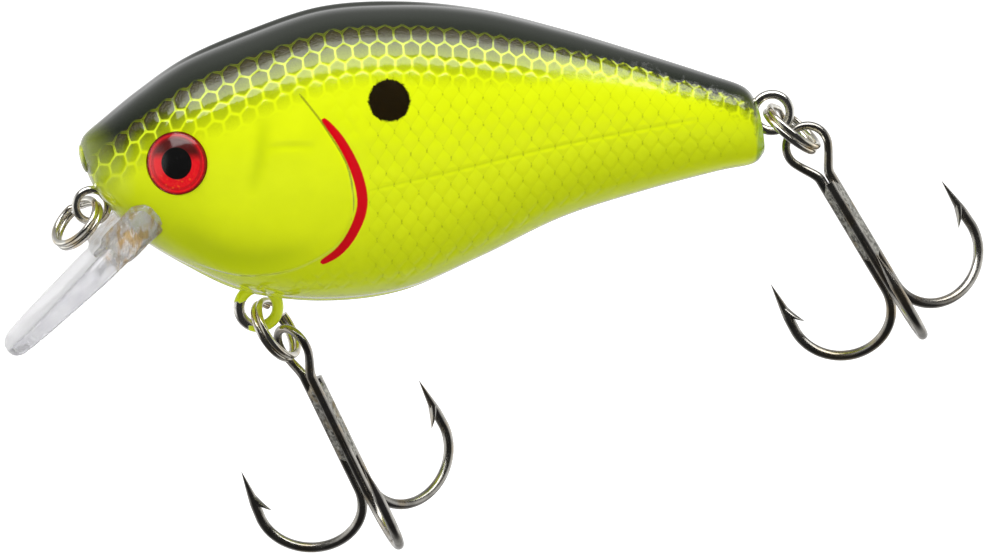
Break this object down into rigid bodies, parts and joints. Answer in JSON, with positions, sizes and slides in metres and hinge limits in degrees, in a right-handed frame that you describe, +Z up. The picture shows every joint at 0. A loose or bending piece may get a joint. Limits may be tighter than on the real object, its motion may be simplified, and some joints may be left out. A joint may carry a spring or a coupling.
{
  "type": "crankbait lure",
  "caption": "Squarebill crankbait: hollow two-part fish body, clear diving lip, wire line tie, split rings and treble hooks on swinging hangers.",
  "frame": {"origin": "centre of the line-tie eye in the mid-plane", "axes": "+X from nose to tail, +Z up to the back, -Y out of the left flank"},
  "size_m": [0.0867, 0.0199, 0.049],
  "materials": {
    "painted_body": "chartreuse paint under clear gloss, black back",
    "clear_lip": "clear polycarbonate",
    "nickel_wire": "nickel-plated wire",
    "painted_wire": "chartreuse paint over nickel wire, chipped",
    "nickel_ring": "bright nickel plate",
    "black_nickel": "black nickel plate",
    "braze": "plated braze metal",
    "red_foil": "red foil",
    "pupil_black": "gloss black",
    "clear_lens": "clear resin",
    "ballast_steel": "turned steel",
    "ball_steel": "polished steel"
  },
  "bodies": {
    "root": {"shell_left": "painted_body", "shell_right": "painted_body", "diving_lip": "clear_lip", "line_tie_eye": "nickel_wire", "belly_hanger": "painted_wire", "tail_hanger": "nickel_wire", "eye_iris_left": "red_foil", "eye_pupil_left": "pupil_black", "eye_lens_left": "clear_lens", "eye_iris_right": "red_foil", "eye_pupil_right": "pupil_black", "eye_lens_right": "clear_lens", "ballast_slug": "ballast_steel"},
    "line_ring": {"line_split_ring": "nickel_ring"},
    "belly_ring": {"belly_split_ring": "nickel_ring"},
    "tail_ring": {"tail_split_ring": "nickel_ring"},
    "belly_treble": {"belly_hook_double": "black_nickel", "belly_hook_single": "black_nickel", "belly_hook_braze": "braze"},
    "tail_treble": {"tail_hook_double": "black_nickel", "tail_hook_single": "black_nickel", "tail_hook_braze": "braze"},
    "front_ball": {"rattle_ball_front": "ball_steel"},
    "middle_ball": {"rattle_ball_middle": "ball_steel"},
    "rear_ball": {"rattle_ball_rear": "ball_steel"}
  },
  "joints": [
    {"name": "line_ring_swing", "type": "hinge", "parent": "root", "child": "line_ring", "pos_m": [0, 0, 0], "axis": [0, 1, 0], "range_deg": [-12, 95]},
    {"name": "belly_ring_swing", "type": "hinge", "parent": "root", "child": "belly_ring", "pos_m": [0.0145, 0, -0.009], "axis": [0, 1, 0], "range_deg": [-20, 60]},
    {"name": "belly_hook_swing", "type": "hinge", "parent": "belly_ring", "child": "belly_treble", "pos_m": [0.01602, 0, -0.01097], "axis": [-0.7514, 0.4226, -0.5068], "range_deg": [-40, 45]},
    {"name": "tail_ring_swing", "type": "hinge", "parent": "root", "child": "tail_ring", "pos_m": [0.0595, 0, 0.0076], "axis": [0, 1, 0], "range_deg": [-120, 22]},
    {"name": "tail_hook_swing", "type": "hinge", "parent": "tail_ring", "child": "tail_treble", "pos_m": [0.06126, 0, 0.00616], "axis": [-0.6022, 0.2079, -0.7708], "range_deg": [-42, 41]},
    {"name": "front_ball_roll", "type": "slide", "parent": "root", "child": "front_ball", "axis": [0, 1, 0], "range_m": [-0.0053, 0.0053]},
    {"name": "middle_ball_roll", "type": "slide", "parent": "root", "child": "middle_ball", "axis": [0, 1, 0], "range_m": [-0.0045, 0.0045]},
    {"name": "rear_ball_roll", "type": "slide", "parent": "root", "child": "rear_ball", "axis": [0, 1, 0], "range_m": [-0.0032, 0.0032]}
  ]
}
